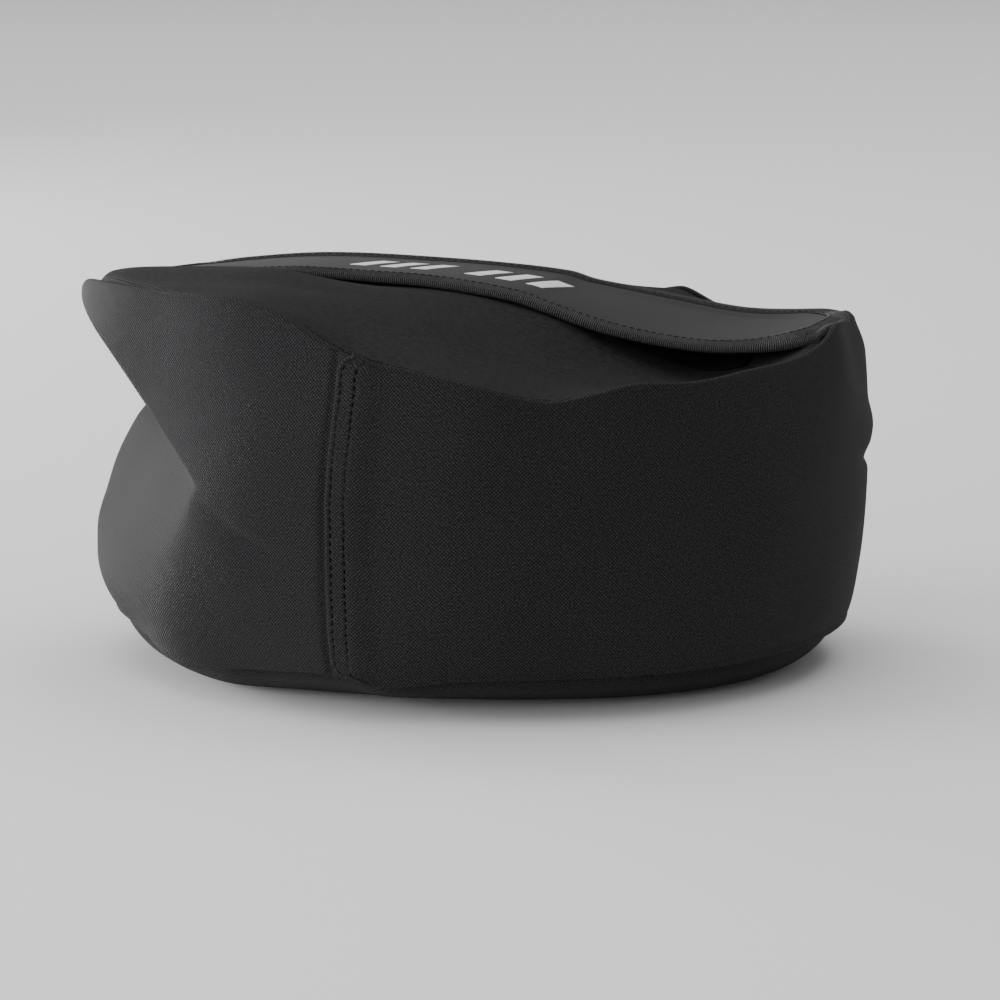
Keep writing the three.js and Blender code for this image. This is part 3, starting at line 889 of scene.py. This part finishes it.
def flap_ribbon():
    """The ribbon folded over the flap's whole edge, with its ribs across."""
    xy, inward, s = flap_outline(RIB_PITCH / 4)
    rib = 0.24 * MM * np.sin(2 * np.pi * s / RIB_PITCH)[:, None]
    taken = ribbon_share(xy)
    face, normal = flap_frame(xy)
    behind, _ = flap_frame(xy + inward * 0.5 * MM)
    out = unit(face - behind)
    columns = []      # round the ribbon's section: outside over the edge to below, and back inside

    def strip_side(distances, lifts, below, ribbed):
        """Columns of points on or below the flap, at distances in from its edge."""
        for distance, lift in zip(distances, lifts):
            p, n = flap_frame(xy + inward * distance * MM * taken)
            height = lift * MM + (rib if ribbed else 0)
            columns.append(p + n * (-(FLAP_STACK + height) if below else height))

    across = [9.5, 9.2, 7.8, 5.5, 3, 1.4]
    lifts = [0.15, 0.7, 0.8, 0.9, 1.0, 1.15]
    strip_side(across, lifts, False, True)
    nose = (FLAP_STACK / 2 + 1.25 * MM) + rib
    middle = face - normal * FLAP_STACK / 2
    for a in np.radians(np.arange(0, 181, 20)):
        columns.append(middle + nose * (normal * math.cos(a) + out * math.sin(a)))
    strip_side(across[::-1], lifts[::-1], True, True)
    strip_side([9.3, 1.5], [0.08, 0.08], True, False)
    for side in (-1, 1):
        columns.append(middle + out * 0.3 * MM + normal * side * (FLAP_STACK / 2 + 0.08 * MM))
    strip_side([1.5, 9.3], [0.08, 0.08], False, False)
    sections = np.stack(columns, 1)
    obj = loop_body("flap_ribbon", sections[:, ::-1], RIBBED, ring=True)
    across_uv = np.linspace(0, 0.04, sections.shape[1])[None] + 0 * s[:, None]
    set_uv(obj, np.stack([s[:, None] + 0 * across_uv, across_uv[:, ::-1]], -1))
    return obj


def flap_stitches():
    """The row of stitches that holds the ribbon, round the whole flap."""
    xy, inward, _ = flap_outline(1.5 * MM)
    points, outs = flap_frame(xy + inward * 7.2 * MM * ribbon_share(xy))
    points = points + outs * 0.95 * MM
    closed = [np.concatenate([a, a[:1]]) for a in (points, outs)]
    return stitches("flap_stitches", [tuple(closed)], THREAD_WITH_HOLE_SHADE, radius=0.3 * MM)


def flap_grid():
    """A grid in plan over the whole flap: stations along X, and points across at each."""
    corner = FLAP["corner"]
    ends = corner * (1 - np.cos(np.radians(np.linspace(6, 90, 12))))[:-1]
    middle = np.linspace(FLAP["left"] + corner, FLAP["right"] - corner, 130)
    x = np.concatenate([FLAP["left"] + ends, middle, (FLAP["right"] - ends)[::-1]])
    into = np.minimum(corner, np.minimum(x - FLAP["left"], FLAP["right"] - x))
    cut = corner - np.sqrt(corner ** 2 - (corner - into) ** 2)
    share = np.linspace(0, 1, 60)[None]
    y = mix((FLAP["front"] + cut)[:, None], (FLAP["back"] - cut)[:, None], share)
    return np.stack([x[:, None] + 0 * y, y], -1) * MM


def flap_sheet(name, offset):
    """One of the flap's two layers of cloth, set off from the flap's upper face."""
    xy = flap_grid()
    face, normal = flap_frame(xy)
    return sheet(name, face + normal * offset, FLAP_BLACK, FLAP_CLOTH, uv=xy)


def hook_tape():
    """The hook tape below the flap, over the loop tape."""
    grid = strip_grid(flap_height, -(FLAP_STACK + 0.15 * MM))
    return sheet("hook_tape", grid, PILE_WITH_RECESS_SHADE, HOOK_AND_LOOP)


def print_bars():
    """The bars of white print on the flap: each a slab, its upper face first."""
    all_points, all_faces, total = [], [], 0
    for bar_x in BAR_X:
        u = np.linspace(0, BAR_WIDTH, 8)[:, None]
        v = np.linspace(0, BAR_HEIGHT, 24)[None]
        xy = np.stack([bar_x + u + BAR_SLANT * v, BAR_Y + v + 0 * u], -1) * MM
        face, normal = flap_frame(xy)
        for offset in (0.16, 0.02):
            all_points.append((face + normal * offset * MM).reshape(-1, 3))
        size = u.size * v.size
        top = grid_faces(u.size, v.size)
        rim = np.concatenate([
            np.arange(v.size), np.arange(2, u.size) * v.size - 1,
            size - 1 - np.arange(v.size), (u.size - 2 - np.arange(u.size - 2)) * v.size,
        ])
        wall = np.stack([rim, np.roll(rim, -1), np.roll(rim, -1) + size, rim + size], -1)
        all_faces.append(np.concatenate([top, top[:, ::-1] + size, wall]) + total)
        total += 2 * size
    points = np.concatenate(all_points)
    return mesh_object("print_bars", points, np.concatenate(all_faces), points[:, :2].copy(), PRINT)


def flap():
    """The whole flap. Its cloth, lining, ribbon and stitches are built in place; the tape and the print turn
    with it.
    """
    bending = {
        "flap_cloth": flap_sheet("flap_cloth", 0),
        "flap_lining_cloth": flap_sheet("flap_lining_cloth", -(FLAP_CLOTH + PLY_GAP)),
        "flap_ribbon": flap_ribbon(),
        "flap_stitches": flap_stitches(),
    }
    for obj in bending.values():
        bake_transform(obj)
    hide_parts("flap_panel")
    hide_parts("flap_lining")
    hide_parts("flap_binding")
    hook = hook_tape()
    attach(hook, "flap")
    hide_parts("hook_strip")
    bars = print_bars()
    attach(bars, "flap")


# ---- inside the bag ----

RING_ANGLES = np.linspace(0, 360, 241)[:-1][:, None]


def wall_ring(z_of, inset):
    """A ring grid inside the wall by an inset: z_of gives the heights at an angle."""
    z = z_of(RING_ANGLES)
    grid = around(RING_ANGLES, wall_radius(RING_ANGLES, z), z)
    return grid - normals(grid, ring=True) * inset


def seam_tape(name, z_of, node):
    """A tape round the inside of the wall."""
    near = wall_ring(z_of, CLOTH + 0.35 * MM)
    far = wall_ring(z_of, CLOTH + 0.35 * MM + RIBBON)
    obj = loop_body(name, np.concatenate([near, far[:, ::-1]], 1), RIBBED, ring=True)
    return root_piece(obj, "ribbon", node)


TOP_RINGS = [1, 0.97, 0.9, 0.8, 0.7, 0.6, 0.5, 0.4, 0.3, 0.16]      # shares of the top's radius


def fill_face(inset, rings):
    """The outside of what fills the bag, an inset inside the cloth: base, wall and top, by angle."""
    levels = np.linspace(0, 1, 40)[None]

    def heights(angle):
        highest = np.minimum(rim_height(angle) - 14 * MM, top_foot(angle) - 4 * MM)
        return mix(seam_height(angle) + 3 * MM, highest, levels)

    angle = RING_ANGLES
    side = wall_ring(heights, CLOTH + 3 * MM + inset)
    t = np.linspace(0, 0.8, 24)[None]
    radius, z = base_profile(angle, t)
    bottom = around(angle, radius * (1 - (2 * MM + inset) / BASE_RADIUS), z + CLOTH + 0.8 * MM + inset)
    reach = top_edge(angle) - 9 * MM - inset
    share = np.array([rings])
    x, y = reach * share * np.sin(np.radians(angle)), -reach * share * np.cos(np.radians(angle))
    drop = (4.6 * MM + (round_over(angle) + 3 * MM) * share ** 8) + inset
    top = np.stack([x, y, top_height(x, y) - drop], -1)
    return np.concatenate([bottom, side, top], 1)


def weld(obj):
    """Joins the points that meet on the bag's axis."""
    mesh = bmesh.new()
    mesh.from_mesh(obj.data)
    bmesh.ops.remove_doubles(mesh, verts=mesh.verts, dist=1e-6)
    mesh.to_mesh(obj.data)
    mesh.free()
    return obj


def inner_sack():
    """The film sack, open at the middle of its top."""
    outer, inner = fill_face(0, TOP_RINGS), fill_face(FILM_THICKNESS, TOP_RINGS)
    obj = weld(loop_body("inner_sack_film", np.concatenate([outer, inner[:, ::-1]], 1), FILM, ring=True))
    root_piece(obj, "sack_film", "inner_sack")


def sand():
    """The sand that fills the sack."""
    face = fill_face(FILM_THICKNESS + 0.6 * MM, TOP_RINGS + [0])
    obj = weld(loop_body("sand_heap", face, SAND, ring=True))
    root_piece(obj, "sand", "sand_fill")


# ---- stage ----

def camera():
    """Looks down on the bag from the front right."""
    a, e = VIEW_AZIMUTH, VIEW_ELEVATION
    back = Vector((math.sin(a) * math.cos(e), -math.cos(a) * math.cos(e), math.sin(e)))
    right = Vector((math.cos(a), math.sin(a), 0))
    up = back.cross(right)
    target = AIM + right * AIM_RIGHT - up * AIM_DOWN
    data = bpy.data.cameras.new("camera")
    data.lens = LENS
    data.sensor_width = 36
    data.clip_end = 50
    obj = bpy.data.objects.new("camera", data)
    obj.location = target + back * VIEW_DISTANCE
    obj.rotation_euler = back.to_track_quat("Z", "Y").to_euler()
    bpy.context.scene.collection.objects.link(obj)
    bpy.context.scene.camera = obj


def softbox(name, place, size, power):
    """A rectangular light of a size and a power in watts, turned towards the bag."""
    data = bpy.data.lights.new(name, "AREA")
    data.shape = "RECTANGLE"
    data.size, data.size_y = size
    data.energy = power
    obj = bpy.data.objects.new(name, data)
    obj.location = place
    obj.rotation_euler = (Vector(place) - AIM).to_track_quat("Z", "Y").to_euler()
    bpy.context.scene.collection.objects.link(obj)


def stage():
    """A pale floor, a white surrounding and four soft lights."""
    bpy.ops.mesh.primitive_plane_add(size=30, location=(0, 0, 0))
    floor = bpy.context.object
    floor.name = "floor"
    floor.data.materials.append(Nodes("floor_paint").finish(Base_Color=(0.92, 0.92, 0.92, 1), Roughness=0.9))
    world = bpy.data.worlds.new("studio")
    world.use_nodes = True
    world.node_tree.nodes["Background"].inputs[0].default_value = (1, 1, 1, 1)
    world.node_tree.nodes["Background"].inputs[1].default_value = 0.45
    bpy.context.scene.world = world
    softbox("key_left", (-2.9, 1.3, 0.3), (1.2, 0.7), 108)
    softbox("fill_left", (-3.0, -1.3, 0.7), (2.0, 1.2), 92)
    softbox("fill_front", (-1.0, -3.2, 0.6), (2.4, 1.2), 60)
    softbox("top", (-0.5, 2.2, 7.0), (9.0, 9.0), 370)


camera()
stage()
wall_panel("wall_cloth_right", LAP_START, "side_wall_right")
wall_panel("wall_cloth_left", LAP_START + 180, "side_wall_left")
lap_stitches("lap_stitches_front", LAP_START)
lap_stitches("lap_stitches_rear", LAP_START + 180)
top_panel("top_cloth_front", -1, "top_panel_front")
top_panel("top_cloth_rear", 1, "top_panel_rear")
base_panel()
slit_ribbon("slit_ribbon_front", -1, "slit_binding_front")
slit_ribbon("slit_ribbon_rear", 1, "slit_binding_rear")
slit_stitches()
loop_tape()
flap()
seam_tape("base_tape", lambda a: seam_height(a) + np.array([[10, 14, 18, 22]]) * MM, "base_seam_tape")
seam_tape("top_tape", lambda a: rim_height(a) - np.array([[22, 18, 14, 10]]) * MM, "top_seam_tape")
inner_sack()
sand()
